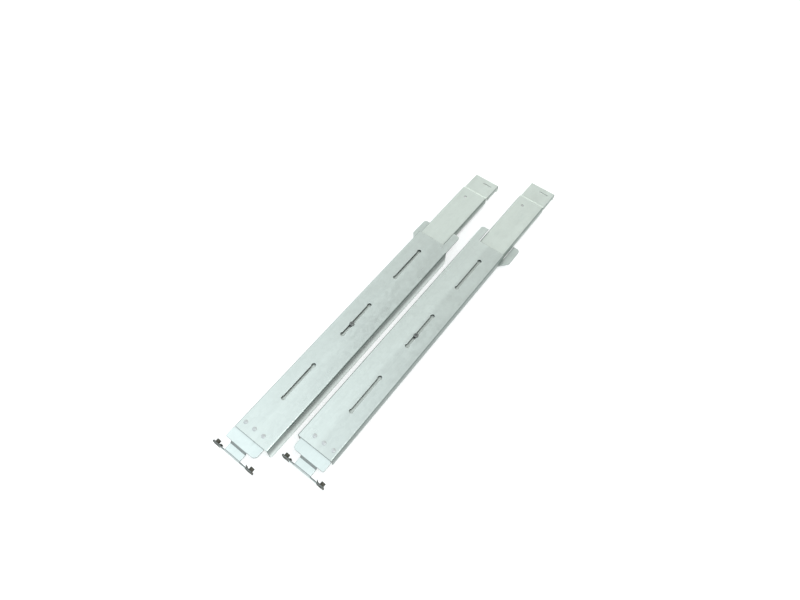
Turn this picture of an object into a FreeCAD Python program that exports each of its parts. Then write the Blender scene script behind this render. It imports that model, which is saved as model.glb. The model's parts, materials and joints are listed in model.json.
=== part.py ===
import FreeCAD, Part
import math
import os

import Sketcher
from FreeCAD import Vector

# A pair of adjustable sheet-steel rails that carry a server between the front and rear posts
# of a rack. Millimetres, +Z up. Both rails lie with the outer face of the web uppermost and
# stand on the free edge of the ledge, as they come out of their box. +X runs from the front
# posts to the rear posts, and the origin is the centre of the pair on the table.
#
# Every rail has its own frame: x from the front face of its front flange, y from the centre
# line of its web and z above the table. "Ledge side" is where the shelf for the server is,
# and "lip side" is the other one, which is the upper side of a rail in its rack.

SIZES = {
    # the pair on the table
    "rail_length": 748,
    "rail_stagger": 51.5,
    "rail_spread": 52.8,
    "web_top": 34,
    # channel
    "sheet_thick": 1.6,
    "bend_inner": 1.0,
    "ledge_side": 43.5,
    "lip_side": 30,
    "lip_depth": 18,
    "web_front": 38.8,
    "web_rear": 546,
    "ledge_rear": 533,
    "ledge_corner": 8,
    "strip_inner": 28.5,
    "strip_rear": 581,
    "strip_corner": 6,
    "ear_start": 528,
    "ear_full": 545,
    "ear_rear": 586,
    "ear_reach": 44.5,
    "ear_corner": 7,
    "slot_first": 161.2,
    "slot_pitch": 153,
    "slot_length": 83.5,
    "slot_width": 5.5,
    "slot_end_width": 8,
    # front bracket
    "bracket_thick": 2,
    "bracket_rear": 69,
    "bracket_front": 18,
    "bracket_ledge_side": 36,
    "bracket_lip_gap": 1.1,
    "bracket_corner": 8,
    "joggle_foot": 14.5,
    "neck_half": 17,
    "neck_drop": 6,
    "flange_half": 42.7,
    "flange_top_drop": 6.6,
    "flange_height": 16,
    "flange_corner": 2.5,
    "notch_width": 6.6,
    # rack holes: distances from the centre line, and below the outer face of the web
    "front_hole_offset": 38.1,
    "rear_hole_offset": 22.225,
    "hole_drop": 14.5,
    "thread_bore": 5,
    # rivets
    "rivet_station": 54.5,
    "rivet_pitch": 20,
    "rivet_hole": 4.9,
    "rivet_shank": 4.8,
    "rivet_head": 7.6,
    "rivet_head_height": 1.1,
    # slider
    "slider_half": 28,
    "slider_drop": 3.6,
    "slider_depth": 15,
    "slider_front": 99,
    "slider_corner": 6,
    "joggle_start": 698,
    "joggle_end": 703.5,
    "end_half": 27,
    "end_drop": 8,
    "end_wall_front": 706,
    "end_wall_rear": 741.5,
    "rear_flange_depth": 20,
    "rear_flange_corner": 3,
    "gauge_hole_station": 677,
    "gauge_hole_offset": 9,
    "gauge_hole": 5,
    "lance_station": 734,
    "lance_offset": -8,
    "lance_length": 18,
    "lance_width": 2.6,
    # lock screw and its nut
    "lock_station": 302,
    "lock_shank": 4.8,
    "lock_hole": 4.9,
    "lock_head": 8.6,
    "lock_head_height": 2.2,
    "lock_tail": 22.8,
    "face_gap": 0.3,
    "nut_flats": 8,
    "nut_thick": 4,
    # clip nuts
    "clip_thick": 0.8,
    "clip_height": 12,
    "clip_inner": 30.5,
    "clip_slack": 0.3,
    "clip_flare": 2.4,
    "barrel_wide": 8,
    "barrel_length": 5.5,
    # weld nuts behind the rear flange
    "rear_hole": 6.6,
    "weld_nut_flats": 7.6,
    "weld_nut_thick": 4,
}

TOLERANCE = 0.01
RIGHT = -1
LEFT = 1

doc = FreeCAD.newDocument("RailPair")
sheet = doc.addObject("Spreadsheet::Sheet", "Sizes")
for row, (word, number) in enumerate(SIZES.items(), start=1):
    sheet.set(f"A{row}", word)
    sheet.set(f"B{row}", str(number))
    sheet.setAlias(f"B{row}", word)
doc.recompute()


def size(word):
    """The number in the spreadsheet cell of that name."""
    return float(getattr(sheet, word))


def cells(text):
    """Turns [name] into the spreadsheet's cell of that name."""
    return text.replace("[", "Sizes.").replace("]", "")


def across(side, text):
    """A distance from the centre line, positive towards the ledge, in the rail's own y."""
    return cells(f"{side} * ({text})")


# ---------------------------------------------------------------- sketches and features

def new_body(name):
    body = doc.addObject("PartDesign::Body", name)
    body.Label = name
    return body


def place(body, x="0", y="0", z="0"):
    for axis, text in (("x", x), ("y", y), ("z", z)):
        body.setExpression(f"Placement.Base.{axis}", cells(text))


def origin_feature(body, role):
    return next(item for item in body.Origin.OriginFeatures if item.Role == role)


def new_sketch(body, name, role, level="0"):
    """A sketch parallel to one of the body's planes, a distance along that plane's normal."""
    sketch = body.newObject("Sketcher::SketchObject", name)
    sketch.AttachmentSupport = [(origin_feature(body, role), "")]
    sketch.MapMode = "FlatFace"
    sketch.setExpression("AttachmentOffset.Base.z", cells(level))
    return sketch


def pin_point(sketch, geometry, point, x, y):
    """Fixes a point of the sketch at two distances from the sketch's origin."""
    for kind, text in (("DistanceX", x), ("DistanceY", y)):
        number = sketch.addConstraint(Sketcher.Constraint(kind, -1, 1, geometry, point, 1.0))
        sketch.setExpression(f"Constraints[{number}]", cells(text))


def add_outline(sketch, corners):
    """A closed outline of straight lines through the corners, each one fixed by two sizes."""
    first = sketch.GeometryCount
    count = len(corners)
    turn = 2 * math.pi / count
    ring = [Vector(math.cos(turn * i), math.sin(turn * i), 0) for i in range(count)]
    for i in range(count):
        sketch.addGeometry(Part.LineSegment(ring[i], ring[(i + 1) % count]), False)
    for i in range(count):
        following = first + (i + 1) % count
        sketch.addConstraint(Sketcher.Constraint("Coincident", first + i, 2, following, 1))
    for i, (x, y) in enumerate(corners):
        pin_point(sketch, first + i, 1, x, y)


def add_rectangle(sketch, x_low, x_high, y_low, y_high):
    corners = [(x_low, y_low), (x_high, y_low), (x_high, y_high), (x_low, y_high)]
    add_outline(sketch, corners)


def add_circle(sketch, x, y, width):
    number = sketch.addGeometry(Part.Circle(Vector(0, 0, 0), Vector(0, 0, 1), 1), False)
    pin_point(sketch, number, 3, x, y)
    limit = sketch.addConstraint(Sketcher.Constraint("Diameter", number, 1.0))
    sketch.setExpression(f"Constraints[{limit}]", cells(width))


def pad(body, name, sketch, length, symmetric=False):
    feature = body.newObject("PartDesign::Pad", name)
    feature.Profile = sketch
    feature.SideType = "Symmetric" if symmetric else "One side"
    feature.setExpression("Length", cells(length))
    doc.recompute()
    return feature


def pocket(body, name, sketch, length, backwards=False):
    """Cuts towards the sketch's normal when backwards is set, and away from it otherwise."""
    before = body.Shape.Volume
    feature = body.newObject("PartDesign::Pocket", name)
    feature.Profile = sketch
    feature.Reversed = backwards
    feature.setExpression("Length", cells(length))
    doc.recompute()
    if not feature.Shape.Volume < before - TOLERANCE:
        raise RuntimeError(f"{body.Label}: {name} cuts nothing")
    return feature


def straight_edges(shape, along, **level):
    """Names of the straight edges parallel to one axis that lie at the given levels."""
    names = []
    for number, edge in enumerate(shape.Edges, start=1):
        if edge.Curve.TypeId != "Part::GeomLine":
            continue
        start, end = edge.Vertexes[0].Point, edge.Vertexes[-1].Point
        step = end - start
        parallel = abs(abs(getattr(step, along)) - step.Length) < TOLERANCE
        placed = all(abs(getattr(start, axis) - value) < TOLERANCE for axis, value in level.items())
        if parallel and placed:
            names.append(f"Edge{number}")
    return names


def round_off(body, name, radius, *edges):
    """Rounds the straight edges, each given as an axis and the levels where it lies."""
    base = body.Tip
    names = []
    for along, level in edges:
        found = straight_edges(base.Shape, along, **level)
        if not found:
            raise RuntimeError(f"{body.Label}: {name} finds no edge along {along} at {level}")
        names.extend(found)
    feature = body.newObject("PartDesign::Fillet", name)
    feature.Base = (base, names)
    feature.setExpression("Radius", cells(radius))
    doc.recompute()
    return feature


def turned(name, corners):
    """A body turned about its own Z axis from an outline of (radius, height) corners."""
    body = new_body(name)
    sketch = new_sketch(body, f"{name}_outline", "XZ_Plane")
    add_outline(sketch, corners)
    feature = body.newObject("PartDesign::Revolution", f"{name}_turn")
    feature.Profile = sketch
    feature.ReferenceAxis = (sketch, ["V_Axis"])
    feature.Angle = 360
    doc.recompute()
    return body


def hexagon(flats):
    """Corners of a regular hexagon, the first on the x axis and the flats that far apart."""
    corners = []
    for i in range(6):
        angle = math.radians(60 * i)
        reach = 1 / math.sqrt(3)
        corners.append((f"{reach * math.cos(angle):.6f} * {flats}",
                        f"{reach * math.sin(angle):.6f} * {flats}"))
    return corners


# ---------------------------------------------------------------- channel

def make_channel(name, side):
    """The long folded channel: web, lip, ledge, rear strip, ear and the adjusting slots."""
    body = new_body(name)
    ledge = size("ledge_side") * side
    lip = -size("lip_side") * side
    thick = size("sheet_thick")
    top = size("web_top")
    bend = "([bend_inner] + [sheet_thick])"
    bend_start = across(side, f"[ledge_side] - {bend}")

    section = new_sketch(body, f"{name}_lip_section", "YZ_Plane", "[web_front]")
    add_outline(section, [
        (across(side, "-[lip_side]"), "[web_top] - [lip_depth]"),
        (across(side, "-[lip_side]"), "[web_top]"),
        (bend_start, "[web_top]"),
        (bend_start, "[web_top] - [sheet_thick]"),
        (across(side, "[sheet_thick] - [lip_side]"), "[web_top] - [sheet_thick]"),
        (across(side, "[sheet_thick] - [lip_side]"), "[web_top] - [lip_depth]"),
    ])
    pad(body, f"{name}_web_and_lip", section, "[web_rear] - [web_front]")
    round_off(body, f"{name}_lip_bend_outside", bend, ("x", {"y": lip, "z": top}))
    round_off(body, f"{name}_lip_bend_inside", "[bend_inner]",
              ("x", {"y": lip + thick * side, "z": top - thick}))

    section = new_sketch(body, f"{name}_ledge_section", "YZ_Plane", "[web_front]")
    add_outline(section, [
        (bend_start, "[web_top]"),
        (across(side, "[ledge_side]"), "[web_top]"),
        (across(side, "[ledge_side]"), "0"),
        (across(side, "[ledge_side] - [sheet_thick]"), "0"),
        (across(side, "[ledge_side] - [sheet_thick]"), "[web_top] - [sheet_thick]"),
        (bend_start, "[web_top] - [sheet_thick]"),
    ])
    pad(body, f"{name}_ledge", section, "[ledge_rear] - [web_front]")
    round_off(body, f"{name}_ledge_bend_outside", bend, ("x", {"y": ledge, "z": top}))
    round_off(body, f"{name}_ledge_bend_inside", "[bend_inner]",
              ("x", {"y": ledge - thick * side, "z": top - thick}))
    round_off(body, f"{name}_ledge_corners", "[ledge_corner]",
              ("y", {"x": size("web_front"), "z": 0}), ("y", {"x": size("ledge_rear"), "z": 0}))

    plan = new_sketch(body, f"{name}_strip_plan", "XY_Plane", "[web_top] - [sheet_thick]")
    add_outline(plan, [
        ("[ledge_rear]", across(side, "[ledge_side]")),
        ("[strip_rear]", across(side, "[ledge_side]")),
        ("[strip_rear]", across(side, "[strip_inner]")),
        ("[ledge_rear]", across(side, "[strip_inner]")),
    ])
    pad(body, f"{name}_strip", plan, "[sheet_thick]")

    plan = new_sketch(body, f"{name}_ear_plan", "XY_Plane", "[web_top] - [lip_depth]")
    add_outline(plan, [
        ("[ear_start]", across(side, "-[lip_side]")),
        ("[ear_full]", across(side, "-[ear_reach]")),
        ("[ear_rear]", across(side, "-[ear_reach]")),
        ("[ear_rear]", across(side, "-[lip_side] + [sheet_thick] / 3")),
        ("[web_rear]", across(side, "-[lip_side] + [sheet_thick] / 3")),
        ("[web_rear]", across(side, "-[lip_side] + [sheet_thick]")),
        ("[ear_start]", across(side, "-[lip_side] + [sheet_thick]")),
    ])
    pad(body, f"{name}_ear", plan, "[sheet_thick]")
    round_off(body, f"{name}_strip_corner", "[strip_corner]",
              ("z", {"x": size("strip_rear"), "y": ledge}))
    round_off(body, f"{name}_strip_root", "[strip_corner] / 2",
              ("z", {"x": size("web_rear"), "y": size("strip_inner") * side}))
    round_off(body, f"{name}_ear_corners", "[ear_corner]",
              ("z", {"x": size("ear_full"), "y": -size("ear_reach") * side}),
              ("z", {"x": size("ear_rear"), "y": -size("ear_reach") * side}))

    holes = new_sketch(body, f"{name}_rivet_plan", "XY_Plane", "[web_top]")
    for step in (-1, 0, 1):
        add_circle(holes, "[rivet_station]", f"{step} * [rivet_pitch]", "[rivet_hole]")
    pocket(body, f"{name}_rivet_holes", holes, "2 * [sheet_thick]")
    cut_slots(body, name)
    return body


def cut_slots(body, name):
    """Three adjusting slots down the centre line, each widened to a round hole at its ends."""
    reach = "([slot_length] - [slot_end_width]) / 2"
    plan = new_sketch(body, f"{name}_slot_plan", "XY_Plane", "[web_top]")
    add_rectangle(plan, f"[slot_first] - {reach}", f"[slot_first] + {reach}",
                  "-[slot_width] / 2", "[slot_width] / 2")
    slot = pocket(body, f"{name}_slot", plan, "2 * [sheet_thick]")
    plan = new_sketch(body, f"{name}_slot_end_plan", "XY_Plane", "[web_top]")
    add_circle(plan, f"[slot_first] - {reach}", "0", "[slot_end_width]")
    add_circle(plan, f"[slot_first] + {reach}", "0", "[slot_end_width]")
    ends = pocket(body, f"{name}_slot_ends", plan, "2 * [sheet_thick]")
    pattern = body.newObject("PartDesign::LinearPattern", f"{name}_slots")
    pattern.Originals = [slot, ends]
    pattern.Direction = (origin_feature(body, "X_Axis"), [""])
    pattern.Occurrences = 3
    pattern.setExpression("Length", cells("2 * [slot_pitch]"))
    body.Tip = pattern
    doc.recompute()


# ---------------------------------------------------------------- front bracket and rivets

def make_front_bracket(name, side):
    """The strip riveted under the web, its joggled neck and the flange for the front posts."""
    body = new_body(name)
    strip_top = "[web_top] - [sheet_thick]"
    neck_top = "[web_top] - [neck_drop]"
    bend = "([bracket_thick] + [bend_inner])"
    thick = size("bracket_thick")
    neck = size("web_top") - size("neck_drop")

    plan = new_sketch(body, f"{name}_strip_plan", "XY_Plane", f"{strip_top} - [bracket_thick]")
    inside = "[bracket_lip_gap] + [sheet_thick] - [lip_side]"
    add_outline(plan, [
        ("[bracket_front]", across(side, "-[lip_side]")),
        ("[web_front] - [bracket_lip_gap]", across(side, "-[lip_side]")),
        ("[web_front] - [bracket_lip_gap]", across(side, inside)),
        ("[bracket_rear]", across(side, inside)),
        ("[bracket_rear]", across(side, "[bracket_ledge_side]")),
        ("[bracket_front]", across(side, "[bracket_ledge_side]")),
    ])
    pad(body, f"{name}_strip", plan, "[bracket_thick]")
    front = size("bracket_front")
    round_off(body, f"{name}_ledge_corner", "[bracket_corner]",
              ("z", {"x": front, "y": size("bracket_ledge_side") * side}))
    round_off(body, f"{name}_lip_corner", "[flange_corner]",
              ("z", {"x": front, "y": -size("lip_side") * side}))

    profile = new_sketch(body, f"{name}_neck_profile", "XZ_Plane")
    add_outline(profile, [
        ("[bracket_front] + [bracket_thick]", strip_top),
        ("[bracket_front]", strip_top),
        ("[joggle_foot]", neck_top),
        ("0", neck_top),
        ("0", "[web_top] - [flange_top_drop] - [flange_height]"),
        ("[bracket_thick]", "[web_top] - [flange_top_drop] - [flange_height]"),
        ("[bracket_thick]", f"{neck_top} - [bracket_thick]"),
        ("[joggle_foot] + [bracket_thick] / 3", f"{neck_top} - [bracket_thick]"),
        ("[bracket_front] + [bracket_thick] / 3", f"{strip_top} - [bracket_thick]"),
        ("[bracket_front] + [bracket_thick]", f"{strip_top} - [bracket_thick]"),
    ])
    pad(body, f"{name}_neck", profile, "2 * [neck_half]", symmetric=True)
    round_off(body, f"{name}_flange_bend_outside", bend, ("y", {"x": 0, "z": neck}))
    round_off(body, f"{name}_flange_bend_inside", "[bend_inner]",
              ("y", {"x": thick, "z": neck - thick}))

    face = new_sketch(body, f"{name}_flange_face", "YZ_Plane")
    add_rectangle(face, "-[flange_half]", "[flange_half]",
                  "[web_top] - [flange_top_drop] - [flange_height]",
                  "[web_top] - [flange_top_drop] - [bend_inner] * 2")
    pad(body, f"{name}_flange", face, "[bracket_thick]")
    cut_notches(body, name)

    holes = new_sketch(body, f"{name}_rivet_plan", "XY_Plane", strip_top)
    for step in (-1, 0, 1):
        add_circle(holes, "[rivet_station]", f"{step} * [rivet_pitch]", "[rivet_hole]")
    pocket(body, f"{name}_rivet_holes", holes, "2 * [bracket_thick]")
    return body


def cut_notches(body, name):
    """The notch at each end of the flange, open at the end so that a clip nut slides on."""
    hole_level = "[web_top] - [hole_drop]"
    face = new_sketch(body, f"{name}_notch_face", "YZ_Plane")
    for end in (-1, 1):
        add_rectangle(face, f"{end} * [front_hole_offset]", f"{end} * ([flange_half] + 1)",
                      f"{hole_level} - [notch_width] / 2", f"{hole_level} + [notch_width] / 2")
    pocket(body, f"{name}_notches", face, "2 * [bracket_thick]", backwards=True)
    face = new_sketch(body, f"{name}_notch_end_face", "YZ_Plane")
    for end in (-1, 1):
        add_circle(face, f"{end} * [front_hole_offset]", hole_level, "[notch_width]")
    pocket(body, f"{name}_notch_ends", face, "2 * [bracket_thick]", backwards=True)


def make_rivet(name):
    """A rivet with a low round head, set flush underneath. Its origin is on the web's face."""
    foot = "-[sheet_thick] - [bracket_thick]"
    return turned(name, [
        ("0", "[rivet_head_height]"),
        ("[rivet_head] / 2", "[rivet_head_height]"),
        ("[rivet_head] / 2", "0"),
        ("[rivet_shank] / 2", "0"),
        ("[rivet_shank] / 2", foot),
        ("0", foot),
    ])


# ---------------------------------------------------------------- clip nut

def make_clip_nut(name, end):
    """A spring clip that wraps one end of the front flange, with its threaded barrel."""
    body = new_body(name)
    hole_level = "[web_top] - [hole_drop]"
    rear = "[bracket_thick] + [clip_thick]"
    wrap = "[flange_half] + [clip_slack]"
    plan = new_sketch(body, f"{name}_leaf_plan", "XY_Plane", f"{hole_level} - [clip_height] / 2")
    add_outline(plan, [
        ("-[clip_thick]", across(end, "[clip_inner]")),
        ("-[clip_thick]", across(end, f"{wrap} + [clip_thick]")),
        (rear, across(end, f"{wrap} + [clip_thick]")),
        (rear, across(end, "[clip_inner]")),
        (f"{rear} + [clip_flare]", across(end, "[clip_inner] - [clip_flare]")),
        (f"{rear} + [clip_flare] - [clip_thick]",
         across(end, "[clip_inner] - [clip_flare] - [clip_thick] / 2")),
        ("[bracket_thick]", across(end, "[clip_inner] - [clip_thick] / 2")),
        ("[bracket_thick]", across(end, wrap)),
        ("0", across(end, wrap)),
        ("0", across(end, "[clip_inner]")),
    ])
    pad(body, f"{name}_leaves", plan, "[clip_height]")
    bend = size("flange_half") + size("clip_slack") + size("clip_thick")
    round_off(body, f"{name}_bend", "1.5 * [clip_thick]",
              ("z", {"x": -size("clip_thick"), "y": bend * end}),
              ("z", {"x": size("bracket_thick") + size("clip_thick"), "y": bend * end}))

    face = new_sketch(body, f"{name}_barrel_face", "YZ_Plane", rear)
    add_circle(face, across(end, "[front_hole_offset]"), hole_level, "[barrel_wide]")
    pad(body, f"{name}_barrel", face, "[barrel_length]")
    face = new_sketch(body, f"{name}_bore_face", "YZ_Plane", "[bracket_thick] / 2")
    add_circle(face, across(end, "[front_hole_offset]"), hole_level, "[thread_bore]")
    pocket(body, f"{name}_bore", face, "2 * [barrel_length]", backwards=True)
    face = new_sketch(body, f"{name}_window_face", "YZ_Plane", "[bracket_thick] / 2")
    edges = [across(end, f"[front_hole_offset] + {edge} * [notch_width] / 2") for edge in (-1, 1)]
    add_rectangle(face, *edges,
                  f"{hole_level} - [notch_width] / 2", f"{hole_level} + [notch_width] / 2")
    pocket(body, f"{name}_window", face, "2 * [bracket_thick]")
    return body


# ---------------------------------------------------------------- slider

def make_slider(name):
    """The telescoping rear half. Both rails use the same piece, so it isn't mirrored."""
    body = new_body(name)
    top = "[web_top] - [slider_drop]"
    foot = f"{top} - [slider_depth]"
    bend = "([bend_inner] + [sheet_thick])"
    thick = size("sheet_thick")
    half = size("slider_half")
    level = size("web_top") - size("slider_drop")

    section = new_sketch(body, f"{name}_section", "YZ_Plane", "[slider_front]")
    add_outline(section, [
        ("-[slider_half]", foot),
        ("-[slider_half]", top),
        ("[slider_half]", top),
        ("[slider_half]", foot),
        ("[slider_half] - [sheet_thick]", foot),
        ("[slider_half] - [sheet_thick]", f"{top} - [sheet_thick]"),
        ("[sheet_thick] - [slider_half]", f"{top} - [sheet_thick]"),
        ("[sheet_thick] - [slider_half]", foot),
    ])
    pad(body, f"{name}_channel", section, "[joggle_start] - [slider_front]")
    round_off(body, f"{name}_bends_outside", bend,
              ("x", {"y": half, "z": level}), ("x", {"y": -half, "z": level}))
    round_off(body, f"{name}_bends_inside", "[bend_inner]",
              ("x", {"y": half - thick, "z": level - thick}),
              ("x", {"y": thick - half, "z": level - thick}))
    round_off(body, f"{name}_front_corners", "[slider_corner]",
              ("y", {"x": size("slider_front"), "z": level - size("slider_depth")}))
    add_slider_end(body, name)

    plan = new_sketch(body, f"{name}_hole_plan", "XY_Plane", top)
    add_circle(plan, "[lock_station]", "0", "[lock_hole]")
    add_circle(plan, "[gauge_hole_station]", "[gauge_hole_offset]", "[gauge_hole]")
    pocket(body, f"{name}_holes", plan, "2 * [sheet_thick]")
    return body


def add_slider_end(body, name):
    """The joggled end plate with its side walls, lanced slot and rear flange."""
    top = "[web_top] - [slider_drop]"
    end_top = "[web_top] - [end_drop]"
    flange_foot = f"{end_top} - [rear_flange_depth]"
    thick = size("sheet_thick")
    end_level = size("web_top") - size("end_drop")
    rear = size("rail_length")
    half = size("end_half")

    profile = new_sketch(body, f"{name}_end_profile", "XZ_Plane")
    add_outline(profile, [
        ("[joggle_start] - [sheet_thick]", top),
        ("[joggle_start]", top),
        ("[joggle_end]", end_top),
        ("[rail_length]", end_top),
        ("[rail_length]", flange_foot),
        ("[rail_length] - [sheet_thick]", flange_foot),
        ("[rail_length] - [sheet_thick]", f"{end_top} - [sheet_thick]"),
        ("[joggle_end] - [sheet_thick] / 3", f"{end_top} - [sheet_thick]"),
        ("[joggle_start] - [sheet_thick] / 3", f"{top} - [sheet_thick]"),
        ("[joggle_start] - [sheet_thick]", f"{top} - [sheet_thick]"),
    ])
    pad(body, f"{name}_end_plate", profile, "2 * [end_half]", symmetric=True)
    walls = new_sketch(body, f"{name}_end_wall_face", "YZ_Plane", "[end_wall_front]")
    for edge in (-1, 1):
        add_rectangle(walls, f"{edge} * ([end_half] - [sheet_thick])", f"{edge} * [end_half]",
                      f"{top} - [slider_depth]", end_top)
    pad(body, f"{name}_end_walls", walls, "[end_wall_rear] - [end_wall_front]")
    round_off(body, f"{name}_rear_bend_outside", "[bend_inner] + [sheet_thick]",
              ("y", {"x": rear, "z": end_level}))
    round_off(body, f"{name}_rear_bend_inside", "[bend_inner]",
              ("y", {"x": rear - thick, "z": end_level - thick}))
    foot = end_level - size("rear_flange_depth")
    corner_edges = [("x", {"y": edge * half, "z": foot}) for edge in (-1, 1)]
    round_off(body, f"{name}_rear_flange_corners", "[rear_flange_corner]", *corner_edges)

    holes = new_sketch(body, f"{name}_rear_hole_face", "YZ_Plane", "[rail_length]")
    for end in (-1, 1):
        add_circle(holes, f"{end} * [rear_hole_offset]", "[web_top] - [hole_drop]", "[rear_hole]")
    pocket(body, f"{name}_rear_holes", holes, "2 * [sheet_thick]")
    lance = new_sketch(body, f"{name}_lance_plan", "XY_Plane", end_top)
    half_wide, half_long = "[lance_width] / 2", "[lance_length] / 2"
    add_rectangle(lance, f"[lance_station] - {half_wide}", f"[lance_station] + {half_wide}",
                  f"[lance_offset] - {half_long}", f"[lance_offset] + {half_long}")
    pocket(body, f"{name}_lance", lance, "2 * [sheet_thick]")


# ---------------------------------------------------------------- nuts and lock screw

def make_nut(name, role, flats, thick):
    """A hexagon nut that ends at its origin, its bore along the normal of the plane."""
    body = new_body(name)
    plan = new_sketch(body, f"{name}_plan", role, f"-({thick})")
    add_outline(plan, hexagon(flats))
    add_circle(plan, "0", "0", "[thread_bore]")
    pad(body, f"{name}_hexagon", plan, thick)
    return body


def make_lock_screw(name):
    """Low-head screw down through the middle slot. Its origin is under the head."""
    reach = "[lock_tail] - [web_top] - [face_gap]"
    return turned(name, [
        ("0", "[lock_head_height]"),
        ("[lock_head] / 2", "[lock_head_height]"),
        ("[lock_head] / 2", "0"),
        ("[lock_shank] / 2", "0"),
        ("[lock_shank] / 2", reach),
        ("0", reach),
    ])


# ---------------------------------------------------------------- one rail

def make_rail(hand, side):
    """Builds the pieces of one rail and puts each in its place on the table."""
    span = "([rail_length] + [rail_stagger] - [clip_thick]) / 2"
    shift = "[rail_stagger]" if side == LEFT else "0"
    front = f"{shift} - {span}"
    centre = f"{-side} * [rail_spread]"
    web = "[web_top]"
    under_slider = "[web_top] - [slider_drop] - [sheet_thick]"

    def put(body, x="0", y="0", z="0"):
        place(body, f"{front} + {x}", f"{centre} + {y}", z)
        return body

    pieces = [
        put(make_channel(f"{hand}_channel", side)),
        put(make_front_bracket(f"{hand}_front_bracket", side)),
        put(make_slider(f"{hand}_slider")),
    ]
    for word, step in (("upper", -1), ("middle", 0), ("lower", 1)):
        rivet = make_rivet(f"{hand}_{word}_rivet")
        pieces.append(put(rivet, "[rivet_station]", f"{step * side} * [rivet_pitch]", web))
    for word, end in (("upper", -1), ("lower", 1)):
        pieces.append(put(make_clip_nut(f"{hand}_{word}_clip_nut", end * side)))
        name = f"{hand}_{word}_weld_nut"
        nut = make_nut(name, "YZ_Plane", "[weld_nut_flats]", "[weld_nut_thick]")
        pieces.append(put(nut, "[rail_length] - [sheet_thick]",
                          f"{end * side} * [rear_hole_offset]", "[web_top] - [hole_drop]"))
    screw = make_lock_screw(f"{hand}_lock_screw")
    nut = make_nut(f"{hand}_lock_nut", "XY_Plane", "[nut_flats]", "[nut_thick]")
    pieces.append(put(screw, "[lock_station]", "0", "[web_top] + [face_gap]"))
    pieces.append(put(nut, "[lock_station]", "0", under_slider))
    return pieces


def check_and_write(pieces):
    """Stops on a failed object or a bad shape, and then writes one STEP file per piece."""
    doc.recompute()
    for item in doc.Objects:
        if "Invalid" in item.State or "Error" in item.State:
            raise RuntimeError(f"{item.Label} is {item.State}")
    for piece in pieces:
        shape = piece.Shape
        if shape.isNull() or not shape.isValid() or len(shape.Solids) != 1:
            raise RuntimeError(f"{piece.Label} has a bad shape")
    os.makedirs("parts", exist_ok=True)
    for piece in pieces:
        piece.Shape.exportStep(os.path.join("parts", f"{piece.Label}.step"))
    print(f"{len(pieces)} pieces written")


check_and_write(make_rail("right", RIGHT) + make_rail("left", LEFT))
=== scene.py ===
import json
import math

import bmesh
import bpy
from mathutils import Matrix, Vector

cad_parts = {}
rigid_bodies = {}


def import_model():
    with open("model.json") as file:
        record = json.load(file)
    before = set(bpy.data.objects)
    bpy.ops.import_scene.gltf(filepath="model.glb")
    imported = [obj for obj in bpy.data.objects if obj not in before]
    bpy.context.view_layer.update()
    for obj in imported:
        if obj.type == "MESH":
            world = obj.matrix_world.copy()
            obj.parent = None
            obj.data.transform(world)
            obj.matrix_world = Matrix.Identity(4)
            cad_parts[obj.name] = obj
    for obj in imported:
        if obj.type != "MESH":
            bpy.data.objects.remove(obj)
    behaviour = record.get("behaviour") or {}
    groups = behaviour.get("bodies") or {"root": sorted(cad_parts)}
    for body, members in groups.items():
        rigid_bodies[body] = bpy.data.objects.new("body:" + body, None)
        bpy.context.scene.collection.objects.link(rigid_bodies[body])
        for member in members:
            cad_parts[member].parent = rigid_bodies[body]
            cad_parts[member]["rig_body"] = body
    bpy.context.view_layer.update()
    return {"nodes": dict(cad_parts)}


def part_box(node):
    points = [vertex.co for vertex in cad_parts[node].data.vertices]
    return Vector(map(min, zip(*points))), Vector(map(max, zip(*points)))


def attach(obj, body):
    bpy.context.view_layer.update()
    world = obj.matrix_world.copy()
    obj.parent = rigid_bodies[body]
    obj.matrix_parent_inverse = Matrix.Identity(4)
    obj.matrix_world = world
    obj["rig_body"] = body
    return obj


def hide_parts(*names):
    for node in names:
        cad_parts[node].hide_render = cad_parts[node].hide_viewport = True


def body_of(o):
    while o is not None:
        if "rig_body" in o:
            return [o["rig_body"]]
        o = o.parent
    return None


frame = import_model()

# Lengths are in metres, apart from the rings of the small parts, which are in millimetres.
HANDS = ("right", "left")
SIDES = {"right": -1, "left": 1}      # which way the ledge lies along Y


def grey(value):
    return (value, value, value, 1)


def colour(r, g, b):
    return (r, g, b, 1)


# ---------------------------------------------------------------- node trees

# how squarely a face has to look along an axis, from not counted to fully counted
SQUARE_ON = (0.75, 0.85)
WALL_ON = (0.12, 0.55)
LEVEL_CUT_ON = (0.4, 0.6)
# cosine between the true and the rounded normal, on a flat and on an edge
EDGE_COSINES = (0.95, 0.75)

# the heights where the painted shade on the walls along the rail starts and where it is full
WALL_HEIGHTS = (0.009, 0.023)         # a wall's foot, and where its tone is full
# the heights and strength of the painted shade on the broad faces of the bracket's flange
FLANGE_SHADE_HEIGHTS = (0.014, 0.026)         # the same on the bracket's flange
FLANGE_SHADE_SHARE = 0.75
FLANGE_THICK = 0.0022                 # the bracket's sheet, and a little over

MIX_FIRST, MIX_SECOND, MIX_RESULT = 6, 7, 2   # a Mix node's sockets for colours


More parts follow.
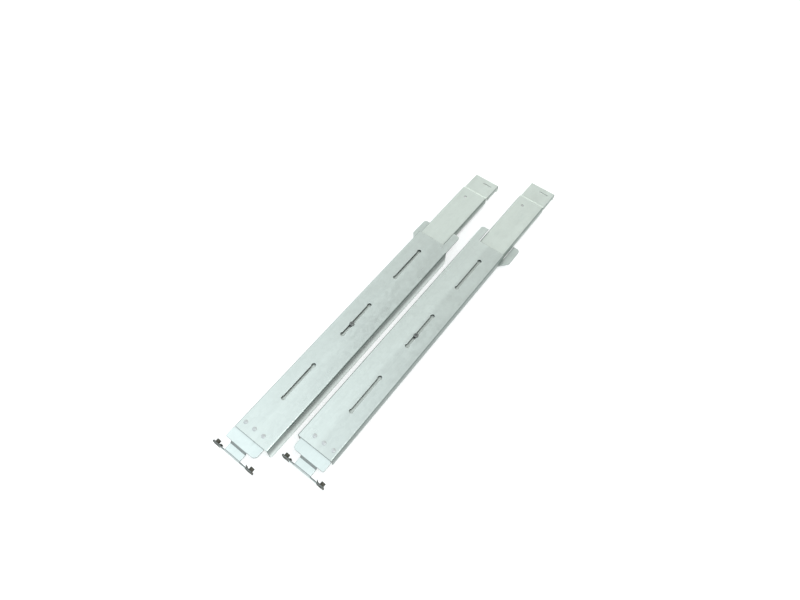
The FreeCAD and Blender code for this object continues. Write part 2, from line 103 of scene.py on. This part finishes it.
class Graph:
    """The node tree of a new material, with short ways to add and join nodes."""

    def __init__(self, name):
        self.material = bpy.data.materials.new(name)
        self.material.use_nodes = True
        self.tree = self.material.node_tree
        self.shader = self.tree.nodes["Principled BSDF"]
        self.place = self.add("ShaderNodeTexCoord").outputs["Object"]

    def add(self, kind, **settings):
        node = self.tree.nodes.new(kind)
        for key, value in settings.items():
            setattr(node, key, value)
        return node

    def put(self, socket, value):
        """Links a socket, or sets its number or colour."""
        if isinstance(value, bpy.types.NodeSocket):
            self.tree.links.new(value, socket)
        else:
            socket.default_value = value

    def math(self, operation, first, second=0.0, clamp=False):
        node = self.add("ShaderNodeMath", operation=operation, use_clamp=clamp)
        self.put(node.inputs[0], first)
        self.put(node.inputs[1], second)
        return node.outputs[0]

    def parts(self, vector):
        """The X, Y and Z of a vector."""
        node = self.add("ShaderNodeSeparateXYZ")
        self.put(node.inputs["Vector"], vector)
        return node.outputs

    def stretched(self, x, y, z):
        """The place on the object with each axis scaled by its own factor."""
        node = self.add("ShaderNodeMapping")
        self.put(node.inputs["Vector"], self.place)
        node.inputs["Scale"].default_value = (x, y, z)
        return node.outputs["Vector"]

    def noise(self, vector, scale, detail=2.0, rough=0.5):
        node = self.add("ShaderNodeTexNoise")
        self.put(node.inputs["Vector"], vector)
        node.inputs["Scale"].default_value = scale
        node.inputs["Detail"].default_value = detail
        node.inputs["Roughness"].default_value = rough
        return node.outputs["Fac"]

    def streaks(self, scales, detail, rough):
        """Noise with its own scale along each axis."""
        return self.noise(self.stretched(*scales), 1.0, detail, rough)

    def flakes(self, scales, scale):
        """Three unlike random values for each cell of a pattern."""
        cells = self.add("ShaderNodeTexVoronoi")
        self.put(cells.inputs["Vector"], self.stretched(*scales))
        cells.inputs["Scale"].default_value = scale
        split = self.add("ShaderNodeSeparateColor")
        self.put(split.inputs["Color"], cells.outputs["Color"])
        return split.outputs

    def spread(self, value, low, high, to_low=0.0, to_high=1.0):
        """Maps a range onto another one, and holds it there."""
        node = self.add("ShaderNodeMapRange")
        for socket, number in zip(node.inputs[:5], (value, low, high, to_low, to_high)):
            self.put(socket, number)
        return node.outputs["Result"]

    def mix(self, factor, first, second, blend="MIX"):
        node = self.add("ShaderNodeMix", data_type="RGBA", blend_type=blend)
        self.put(node.inputs["Factor"], factor)
        self.put(node.inputs[MIX_FIRST], first)
        self.put(node.inputs[MIX_SECOND], second)
        return node.outputs[MIX_RESULT]

    def bump(self, height, depth, under):
        """The normal under it, with a height added."""
        node = self.add("ShaderNodeBump")
        node.inputs["Distance"].default_value = depth
        self.put(node.inputs["Height"], height)
        self.put(node.inputs["Normal"], under)
        return node.outputs["Normal"]

    def swing(self, value, amount):
        """A value between 0 and 1 as a swing to either side of 0."""
        return self.math("MULTIPLY", self.math("SUBTRACT", value, 0.5), amount)

    def openness(self, reach):
        """1 where nothing stands near the surface, and less in corners and gaps."""
        node = self.add("ShaderNodeAmbientOcclusion", samples=8)
        node.inputs["Distance"].default_value = reach
        return node.outputs["AO"]

    def shaded_wall_top(self):
        """Mask of painted shade: 1 on the upper part of walls along the rail, fading to 0 at
        their foot.
        """
        sideways = self.spread(self.facing()[1], *WALL_ON)
        height = self.parts(self.place)["Z"]
        return self.math("MULTIPLY", sideways, self.spread(height, *WALL_HEIGHTS))

    def edges(self, radius):
        """1 on outside and inside edges and 0 on the flats, and the rounded normal."""
        rounded = self.add("ShaderNodeBevel", samples=6)
        rounded.inputs["Radius"].default_value = radius
        dot = self.add("ShaderNodeVectorMath", operation="DOT_PRODUCT")
        self.put(dot.inputs[0], rounded.outputs["Normal"])
        self.put(dot.inputs[1], self.add("ShaderNodeNewGeometry").outputs["Normal"])
        return self.spread(dot.outputs["Value"], *EDGE_COSINES), rounded.outputs["Normal"]

    def facing(self):
        """The amounts, 0 to 1, by which the surface faces along X, Y and Z."""
        normal = self.add("ShaderNodeNewGeometry").outputs["Normal"]
        return [self.math("ABSOLUTE", output) for output in self.parts(normal)]

    def cut_faces(self):
        """1 on the sheared faces across the rail."""
        return self.spread(self.facing()[0], *SQUARE_ON)

    def bracket_cuts_and_shade(self, flange_back):
        """1 on the bracket's sheared faces, and less, as painted shade, on the upper part of its
        flange's broad faces.
        """
        x, y, z = self.facing()
        place = self.parts(self.place)
        behind = self.math("GREATER_THAN", place["X"], flange_back)
        across = self.spread(self.math("MAXIMUM", x, y), *LEVEL_CUT_ON)
        level = self.math("MULTIPLY", across, behind)
        # painted shade on the upper part of the flange's broad faces
        upper = self.spread(place["Z"], *FLANGE_SHADE_HEIGHTS, 0.0, FLANGE_SHADE_SHARE)
        upright = self.math("MAXIMUM", self.spread(z, *SQUARE_ON),
                            self.math("MULTIPLY", x, upper))
        ahead = self.math("MULTIPLY", self.math("SUBTRACT", 1.0, behind), upright)
        return self.math("ADD", level, ahead, clamp=True)


# ---------------------------------------------------------------- galvanised sheet

# patterns in the zinc: scale along X, Y and Z, then detail and roughness
ROLLING = ((3, 420, 420), 4.0, 0.6)
BROAD = ((0.3, 35, 35), 3.0, 0.55)
CLOUD = ((5, 9, 9), 3.0, 0.6)
STAIN = ((16, 30, 30), 4.0, 0.65)
SPANGLE = ((1, 1.25, 1), 145)

# how far the patterns swing the tone, and the roughness
FLAKE_TONE, ROLLING_TONE, BROAD_TONE = 0.22, 0.40, 0.70
FLAKE_MATT, BROAD_MATT, STAIN_MATT = 0.07, 0.10, 0.35
STAIN_EDGE = (0.58, 0.72)
STAIN_MOST = 0.18
ROLLING_DEPTH, FLAKE_DEPTH, CLOUD_DEPTH = 0.000015, 0.000006, 0.0006
ZINC_METALLIC = 0.85

EDGE_BAND = 0.0018
CUT_AND_SHADE_MOST = 0.85
# painted shade in corners, gaps and under parts: how far it looks, the openness range, and its
# strength
CORNER_SHADE_REACH = 0.007
CORNER_SHADE_OPENNESS = (0.25, 0.85)
CORNER_SHADE_MOST = 0.75
ZINC_DULL = colour(0.45, 0.50, 0.475)
# the dark of sheared faces, also used for the painted shade on the bracket's flange
CUT_AND_SHADE_DARK = colour(0.15, 0.16, 0.155)
# painted shade, multiplied into the upper part of the walls
WALL_TOP_SHADE = colour(0.29, 0.315, 0.305)
CORNER_SHADE = colour(0.10, 0.11, 0.105)

# the ledge side of each web reads as bent down by about four degrees along a crease
CREASE_START = 0.008
CREASE_SLOPE = 0.070
CREASE_SOFTNESS = 0.006
# painted highlight: the ledge side of the web made a little lighter beyond this band of offsets
CREASE_BAND = (0.003, 0.009)
LEDGE_SIDE_HIGHLIGHT = grey(1.06)


def crease_fall(g, offset):
    """The web's height beyond the crease, falling away towards the ledge."""
    beyond = g.add("ShaderNodeMath", operation="SMOOTH_MAX")
    g.put(beyond.inputs[0], g.math("SUBTRACT", offset, CREASE_START))
    beyond.inputs[1].default_value = 0.0
    beyond.inputs[2].default_value = CREASE_SOFTNESS
    return g.math("MULTIPLY", beyond.outputs[0], -CREASE_SLOPE)


def zinc_sheet(name, light, dark, rough, cuts_and_shade, crease=None):
    """Galvanised sheet: spangles, rolling lines, clouds, dark sheared faces, painted shade on
    the upper part of walls and in corners, and, with a crease, a painted highlight on the web's
    ledge side.

    The fifth argument is None, or makes the mask of the sheared faces, which for the bracket
    also holds painted shade on the upper part of its flange. crease is the Y of the web's centre
    line and the side of its ledge."""
    g = Graph(name)
    rolling = g.streaks(*ROLLING)
    broad = g.streaks(*BROAD)
    cloud = g.streaks(*CLOUD)
    stain = g.streaks(*STAIN)
    flake = g.flakes(*SPANGLE)
    cut_and_shade, normal = g.edges(EDGE_BAND)
    # on the bracket this adds painted shade on its flange to the sheared faces
    if cuts_and_shade is not None:
        cut_and_shade = g.math("MAXIMUM", cut_and_shade, cuts_and_shade(g))

    tone = g.swing(flake[0], FLAKE_TONE)
    tone = g.math("ADD", tone, g.swing(rolling, ROLLING_TONE))
    tone = g.math("ADD", tone, g.swing(broad, BROAD_TONE))
    tone = g.math("ADD", tone, cloud, clamp=True)
    spots = g.spread(stain, *STAIN_EDGE, 0.0, STAIN_MOST)
    # painted shade: the sheet darkened where little light reaches, in corners and gaps
    corner_shade = g.spread(g.openness(CORNER_SHADE_REACH), *CORNER_SHADE_OPENNESS, CORNER_SHADE_MOST, 0.0)
    base = g.mix(tone, dark, light)
    base = g.mix(spots, base, ZINC_DULL)
    # painted shade on the upper part of the walls along the rail
    base = g.mix(g.shaded_wall_top(), base, WALL_TOP_SHADE, "MULTIPLY")
    base = g.mix(corner_shade, base, CORNER_SHADE)

    matt = g.math("ADD", g.swing(flake[1], FLAKE_MATT), rough)
    matt = g.math("ADD", matt, g.swing(broad, BROAD_MATT))
    matt = g.math("ADD", matt, g.math("MULTIPLY", spots, STAIN_MATT))
    g.put(g.shader.inputs["Roughness"], matt)

    if crease is not None:
        centre, side = crease
        offset = g.math("SUBTRACT", g.parts(g.place)["Y"], centre)
        offset = g.math("MULTIPLY", offset, side)
        normal = g.bump(crease_fall(g, offset), 1.0, normal)
        # painted highlight: the web's ledge side made a little lighter
        base = g.mix(g.spread(offset, *CREASE_BAND), base, LEDGE_SIDE_HIGHLIGHT, "MULTIPLY")
    # dark sheared faces and edges, and on the bracket's flange painted shade
    base = g.mix(g.math("MULTIPLY", cut_and_shade, CUT_AND_SHADE_MOST), base, CUT_AND_SHADE_DARK)
    g.put(g.shader.inputs["Base Color"], base)

    normal = g.bump(rolling, ROLLING_DEPTH, normal)
    normal = g.bump(flake[2], FLAKE_DEPTH, normal)
    normal = g.bump(cloud, CLOUD_DEPTH, normal)
    g.put(g.shader.inputs["Normal"], normal)
    g.shader.inputs["Metallic"].default_value = ZINC_METALLIC
    return g.material


# ---------------------------------------------------------------- plated and blackened steel

GRAIN_RANGE = (0.2, 0.8)

PLATED_GRAIN = (1400, 3.0, 0.6)       # scale, detail and roughness
PLATED_PATCH = (260, 3.0, 0.6)
PLATED_PATCH_RANGE = (0.3, 0.7)
PLATED_EDGE = 0.0003
PLATED_WEAR = 0.6
PLATED_MATT = (-0.08, 0.10)           # how far the grain swings the roughness
PLATED_DEPTH = 0.00003

BLACK_GRAIN = (1800, 4.0, 0.65)
BLACK_PATCH = (190, 3.0, 0.6)
BLACK_PATCH_RANGE = (0.35, 0.65)
BLACK_EDGE = 0.00035
BLACK_MATT = (-0.10, 0.12)
BLACK_LIFT = 1.7                      # how much lighter the patches are
BLACK_DEPTH = 0.00004
BLACK_METALLIC = 0.7


def plated(name, light, dark, rough):
    """Small plated steel parts: fine tumbled grain, and bright rubbed edges."""
    g = Graph(name)
    grain = g.noise(g.place, *PLATED_GRAIN)
    patch = g.noise(g.place, *PLATED_PATCH)
    worn, rounded = g.edges(PLATED_EDGE)
    base = g.mix(g.spread(patch, *PLATED_PATCH_RANGE), dark, light)
    base = g.mix(g.math("MULTIPLY", worn, PLATED_WEAR), base, light)
    matt = g.spread(grain, *GRAIN_RANGE, *[rough + swing for swing in PLATED_MATT])
    g.put(g.shader.inputs["Base Color"], base)
    g.put(g.shader.inputs["Roughness"], matt)
    g.put(g.shader.inputs["Normal"], g.bump(grain, PLATED_DEPTH, rounded))
    g.shader.inputs["Metallic"].default_value = 1.0
    return g.material


def blackened(name, base, rubbed, rough):
    """Black phosphate or oxide on steel: matt, patchy, and rubbed grey on edges."""
    g = Graph(name)
    grain = g.noise(g.place, *BLACK_GRAIN)
    patch = g.noise(g.place, *BLACK_PATCH)
    worn, rounded = g.edges(BLACK_EDGE)
    rub = g.math("MULTIPLY", worn, g.spread(patch, *BLACK_PATCH_RANGE))
    lifted = colour(*[channel * BLACK_LIFT for channel in base[:3]])
    matt = g.spread(grain, *GRAIN_RANGE, *[rough + swing for swing in BLACK_MATT])
    g.put(g.shader.inputs["Base Color"], g.mix(rub, g.mix(patch, base, lifted), rubbed))
    g.put(g.shader.inputs["Roughness"], matt)
    g.put(g.shader.inputs["Normal"], g.bump(grain, BLACK_DEPTH, rounded))
    g.shader.inputs["Metallic"].default_value = BLACK_METALLIC
    return g.material


slider_zinc = zinc_sheet("slider_zinc", colour(0.76, 0.815, 0.76),
                         colour(0.67, 0.72, 0.67), 0.40, None)
rivet_steel = plated("rivet_steel", colour(0.60, 0.63, 0.62), colour(0.50, 0.51, 0.51), 0.48)
plated_steel = plated("plated_steel", colour(0.75, 0.77, 0.75), colour(0.50, 0.53, 0.51), 0.36)
spring_steel = blackened("spring_steel", colour(0.055, 0.053, 0.042),
                         colour(0.24, 0.23, 0.20), 0.45)
black_screw = blackened("black_screw", colour(0.13, 0.135, 0.13),
                        colour(0.32, 0.32, 0.31), 0.42)

for hand in HANDS:
    low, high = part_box(f"{hand}_slider")
    centre = (low.y + high.y) / 2
    flange_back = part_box(f"{hand}_front_bracket")[0].x + FLANGE_THICK
    channel_zinc = zinc_sheet(f"{hand}_channel_zinc", colour(0.72, 0.78, 0.742),
                              colour(0.59, 0.64, 0.61), 0.32, Graph.cut_faces,
                              (centre, SIDES[hand]))
    bracket_zinc = zinc_sheet(f"{hand}_bracket_zinc", colour(0.78, 0.85, 0.825),
                              colour(0.66, 0.73, 0.705), 0.36,
                              lambda g: g.bracket_cuts_and_shade(flange_back))
    finishes = {
        "channel": channel_zinc,
        "front_bracket": bracket_zinc,
        "slider": slider_zinc,
        "upper_rivet": rivet_steel,
        "middle_rivet": rivet_steel,
        "lower_rivet": rivet_steel,
        "upper_clip_nut": spring_steel,
        "lower_clip_nut": spring_steel,
        "upper_weld_nut": plated_steel,
        "lower_weld_nut": plated_steel,
        "lock_screw": black_screw,
        "lock_nut": plated_steel,
    }
    for part, finish in finishes.items():
        mesh = frame["nodes"][f"{hand}_{part}"].data
        mesh.materials.clear()
        mesh.materials.append(finish)


# ---------------------------------------------------------------- turned and pressed small parts

STEPS = 48                            # corners of a ring, 8 for each side of a hexagon
SHARP = math.radians(32)
TO_MM = 1000

# all in millimetres
THREAD_PITCH = 0.8
THREAD_HALF = 0.36                    # half a groove's width, as a share of the pitch
THREAD_DEPTH = 0.25
RIVET_HEAD = 1.1
RIVET_DOME = 0.8
SCREW_HEAD = 2.2
SCREW_GRIP = 3.0                      # plain shank under the head
SOCKET_FLATS = 3.0
NUT_BORE = 2.5
NUT_BORE_MOUTH = 2.95
NUT_CHAMFER = 0.45


def reach(ring, turn):
    """How far a ring (radius, height, width across flats or 0) goes out at an angle."""
    radius, _, flats = ring
    if not flats:
        return radius
    off_flat = turn % math.radians(60) - math.radians(30)
    return min(radius, flats / 2 / math.cos(off_flat))


def turned(node, rings, finish, axis="z", closed=False):
    """Rings stacked along an axis through the middle of a CAD node, in place of that node.

    Heights are measured from the node's low end. Closed rings run round a bore."""
    low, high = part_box(node)
    middle = (low + high) / 2
    foot = {"z": low.z, "x": low.x}[axis]
    shape = bmesh.new()
    loops = []
    for ring in rings:
        loop = []
        for step in range(STEPS):
            turn = 2 * math.pi * step / STEPS
            out = reach(ring, turn)
            a, b = out * math.cos(turn), out * math.sin(turn)
            if axis == "z":
                spot = (middle.x + a, middle.y + b, foot + ring[1])
            else:
                spot = (foot + ring[1], middle.y + a, middle.z + b)
            loop.append(shape.verts.new(spot))
        loops.append(loop)
    pairs = list(zip(loops, loops[1:]))
    if closed:
        pairs.append((loops[-1], loops[0]))
    for first, second in pairs:
        for i in range(STEPS):
            j = (i + 1) % STEPS
            shape.faces.new((first[i], first[j], second[j], second[i]))
    if not closed:
        shape.faces.new(list(reversed(loops[0])))
        shape.faces.new(loops[-1])
    bmesh.ops.recalc_face_normals(shape, faces=shape.faces)
    mesh = bpy.data.meshes.new(f"{node}_shape")
    shape.to_mesh(mesh)
    shape.free()
    mesh.shade_smooth()
    mesh.set_sharp_from_angle(angle=SHARP)
    mesh.materials.append(finish)
    piece = bpy.data.objects.new(f"{node}_shape", mesh)
    bpy.context.scene.collection.objects.link(piece)
    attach(piece, body_of(frame["nodes"][node])[0])
    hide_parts(node)
    return piece


def mm(*rings):
    """Rings in millimetres, flats left out where they are round, as rings in metres."""
    return [tuple(v / TO_MM for v in (ring + (0,))[:3]) for ring in rings]


def grooves(radius, start, end):
    """Rings of a screw thread's profile between two heights."""
    count = round(abs(end - start) / THREAD_PITCH)
    half = THREAD_PITCH * THREAD_HALF * (1 if end > start else -1)
    rings = []
    for i in range(count):
        along = start + (end - start) * (i + 0.5) / count
        rings += [(radius, along - half), (radius + THREAD_DEPTH, along),
                  (radius, along + half)]
    return rings


def size_mm(node):
    """A CAD node's size along X, Y and Z, in millimetres."""
    return [(b - a) * TO_MM for a, b in zip(*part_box(node))]


def rivet(node):
    """Shank flush below, and a low domed head with a soft rim."""
    across, _, tall = size_mm(node)
    wide = across / 2
    under = tall - RIVET_HEAD
    shank = [(1.2, 0), (2.3, 0.05), (2.4, 0.3), (2.4, under)]
    rim = [(wide - 0.15, under), (wide, under + 0.15)]
    dome = [(wide * math.cos(a), tall - RIVET_DOME + RIVET_DOME * math.sin(a))
            for a in (math.radians(15 * k) for k in range(6))]
    piece = turned(node, mm(*shank, *rim, *dome, (0.4, tall)), rivet_steel)


def lock_screw(node):
    """Pan head with a hexagon socket, a chamfered tip, and thread below the sheets."""
    across, _, tall = size_mm(node)
    wide = across / 2
    neck = tall - SCREW_HEAD
    tip = [(1.0, 0), (1.9, 0), (2.1, 0.35)]
    shank = [*grooves(2.15, 0.5, neck - SCREW_GRIP), (2.4, neck)]
    head = [(wide - 0.2, neck), (wide, neck + 0.2), (wide, neck + 1.2),
            (wide - 0.35, neck + 1.75), (wide - 1.1, neck + 2.1), (wide - 1.8, tall),
            (1.75, tall)]
    socket = [(1.75, tall - 0.1, SOCKET_FLATS), (1.75, tall - 1.3, SOCKET_FLATS),
              (0.3, tall - 1.7)]
    piece = turned(node, mm(*tip, *shank, *head, *socket), black_screw)


def hexagon_nut(node, axis):
    """Hexagon nut, chamfered on both faces, with thread in its bore."""
    x, y, z = size_mm(node)
    thick = x if axis == "x" else z
    # corners point along the wider side of the box
    corner = max(y, z if axis == "x" else x) / 2
    flats = corner * math.sqrt(3)
    round_face = flats / 2 + 0.05
    outside = [(round_face, 0, flats), (corner + 0.1, NUT_CHAMFER, flats),
               (corner + 0.1, thick - NUT_CHAMFER, flats), (round_face, thick, flats)]
    bore = grooves(NUT_BORE, thick - 0.5, 0.5)
    rings = mm(*outside, (NUT_BORE_MOUTH, thick), *bore, (NUT_BORE_MOUTH, 0))
    piece = turned(node, rings, plated_steel, axis, closed=True)


for hand in HANDS:
    for place in ("upper", "middle", "lower"):
        rivet(f"{hand}_{place}_rivet")
    lock_screw(f"{hand}_lock_screw")
    hexagon_nut(f"{hand}_lock_nut", "z")
    for place in ("upper", "lower"):
        hexagon_nut(f"{hand}_{place}_weld_nut", "x")


# ---------------------------------------------------------------- floor

END_PLATE = 0.045                     # the slider's stepped-down end, left out of the shade
SHADE_HALF_WIDTHS = (0.012, 0.026)    # full shade, and none
FLOOR_SIZE = 6
FLOOR_MOTTLE = 3.0
FLOOR_GREYS = (grey(0.62), grey(0.65))
FLOOR_SHADE = grey(0.12)
FLOOR_ROUGH = 0.9
FLOOR_GLOW = 0.55


def covered_floor(g):
    """Mask of a painted shadow: 1 on the floor right under each slider's level part, wherever it
    is, and 0 beside it.
    """
    total = 0.0
    for hand in HANDS:
        slider = frame["nodes"][f"{hand}_slider"]
        low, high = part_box(slider.name)
        place = g.parts(g.add("ShaderNodeTexCoord", object=slider).outputs["Object"])
        inside = g.math("GREATER_THAN", place["X"], low.x)
        inside = g.math("MULTIPLY", inside,
                        g.math("LESS_THAN", place["X"], high.x - END_PLATE))
        off = g.math("ABSOLUTE", g.math("SUBTRACT", place["Y"], (low.y + high.y) / 2))
        inside = g.math("MULTIPLY", inside, g.spread(off, *SHADE_HALF_WIDTHS, 1.0, 0.0))
        total = g.math("ADD", inside, total)
    return total


def make_floor():
    """A pale floor that gives off a little light, with a painted shadow and no glow where a
    slider covers it.
    """
    mesh = bpy.data.meshes.new("floor")
    shape = bmesh.new()
    bmesh.ops.create_grid(shape, x_segments=1, y_segments=1, size=FLOOR_SIZE)
    shape.to_mesh(mesh)
    shape.free()
    floor = bpy.data.objects.new("floor", mesh)
    bpy.context.scene.collection.objects.link(floor)
    g = Graph("floor_white")
    mottle = g.mix(g.noise(g.place, FLOOR_MOTTLE), *FLOOR_GREYS)
    hidden = covered_floor(g)
    # painted shadow: the floor darkened, and its glow taken away, under each slider
    g.put(g.shader.inputs["Base Color"], g.mix(hidden, mottle, FLOOR_SHADE))
    g.shader.inputs["Roughness"].default_value = FLOOR_ROUGH
    g.shader.inputs["Emission Color"].default_value = grey(1)
    g.put(g.shader.inputs["Emission Strength"], g.spread(hidden, 0.0, 1.0, FLOOR_GLOW, 0.0))
    mesh.materials.append(g.material)


# ---------------------------------------------------------------- light and camera

# ramps of the sky's strength: two values on the way up an axis, and the strengths there
SKY_X = (0.02, 0.55, 1.28, 0.66)
SKY_FAR_FRONT = (-0.45, 0.0, 0.70, 1.0)
SKY_Y = (0.20, 0.42, 0.93, 1.10)
SKY_LOW = (0.35, 0.60, 1.7, 0.3)
# the dark screen: its direction, and its ramp from the middle out
SCREEN_TOWARDS = (0.37, 0.22, 0.90)
SKY_SCREEN = (0.04, 0.18, 0.42, 1.0)
# the sky's tint, from the front to the rear
TINT_X = (0.10, 0.50, 0.0, 1.0)
FRONT_TINT = (0.93, 1.0, 1.04, 1)
REAR_TINT = (0.965, 1.0, 0.975, 1)

KEY_PLACE = (-0.25, -0.62, 2.0)
KEY_SIZE = 0.6
KEY_POWER = 7

CAMERA_PLACE = (-0.46875, -0.3425, 0.994)
CAMERA_TOWARDS = (0.4128, 0.3179, -0.8536)
CAMERA_LENS = 27.45
CAMERA_SENSOR = 36


def make_sky():
    """A white room, bright low down, dimmer towards both ends of the rails and most of all
    behind them, with a dark screen high up and a little to the rear."""
    world = bpy.data.worlds.new("studio")
    bpy.context.scene.world = world
    world.use_nodes = True
    nodes, links = world.node_tree.nodes, world.node_tree.links
    towards = nodes.new("ShaderNodeTexCoord").outputs["Generated"]
    direction = nodes.new("ShaderNodeSeparateXYZ")
    links.new(towards, direction.inputs["Vector"])

    def ramp(value, numbers):
        node = nodes.new("ShaderNodeMapRange")
        node.interpolation_type = "SMOOTHSTEP"
        links.new(value, node.inputs["Value"])
        for socket, number in zip(node.inputs[1:5], numbers):
            socket.default_value = number
        return node.outputs["Result"]

    def join(operation, first, second):
        node = nodes.new("ShaderNodeMath")
        node.operation = operation
        links.new(first, node.inputs[0])
        links.new(second, node.inputs[1])
        return node.outputs[0]

    screen = nodes.new("ShaderNodeVectorMath")
    screen.operation = "DISTANCE"
    links.new(towards, screen.inputs[0])
    screen.inputs[1].default_value = SCREEN_TOWARDS
    strength = join("MULTIPLY", ramp(direction.outputs["X"], SKY_X),
                    ramp(screen.outputs["Value"], SKY_SCREEN))
    strength = join("MULTIPLY", strength, ramp(direction.outputs["Y"], SKY_Y))
    strength = join("MULTIPLY", strength, ramp(direction.outputs["X"], SKY_FAR_FRONT))
    strength = join("MAXIMUM", strength, ramp(direction.outputs["Z"], SKY_LOW))
    background = nodes["Background"]
    tint = nodes.new("ShaderNodeMix")
    tint.data_type = "RGBA"
    links.new(ramp(direction.outputs["X"], TINT_X), tint.inputs["Factor"])
    tint.inputs[MIX_FIRST].default_value = FRONT_TINT
    tint.inputs[MIX_SECOND].default_value = REAR_TINT
    links.new(tint.outputs[MIX_RESULT], background.inputs["Color"])
    links.new(strength, background.inputs["Strength"])


def make_key():
    """One soft light from above, on the left-hand rail's side, aimed at the pair's middle."""
    light = bpy.data.lights.new("key", "AREA")
    light.shape = "RECTANGLE"
    light.size = light.size_y = KEY_SIZE
    light.energy = KEY_POWER
    box = bpy.data.objects.new("key", light)
    bpy.context.scene.collection.objects.link(box)
    box.location = KEY_PLACE
    box.rotation_mode = "QUATERNION"
    box.rotation_quaternion = (-Vector(KEY_PLACE)).to_track_quat("-Z", "Y")


def make_camera():
    camera = bpy.data.cameras.new("camera")
    camera.sensor_width = CAMERA_SENSOR
    camera.lens = CAMERA_LENS
    camera.clip_start = 0.01
    stand = bpy.data.objects.new("camera", camera)
    bpy.context.scene.collection.objects.link(stand)
    stand.location = CAMERA_PLACE
    stand.rotation_mode = "QUATERNION"
    stand.rotation_quaternion = Vector(CAMERA_TOWARDS).to_track_quat("-Z", "Y")
    bpy.context.scene.camera = stand


make_floor()
make_sky()
make_key()
bpy.context.scene.view_settings.view_transform = "Standard"
make_camera()
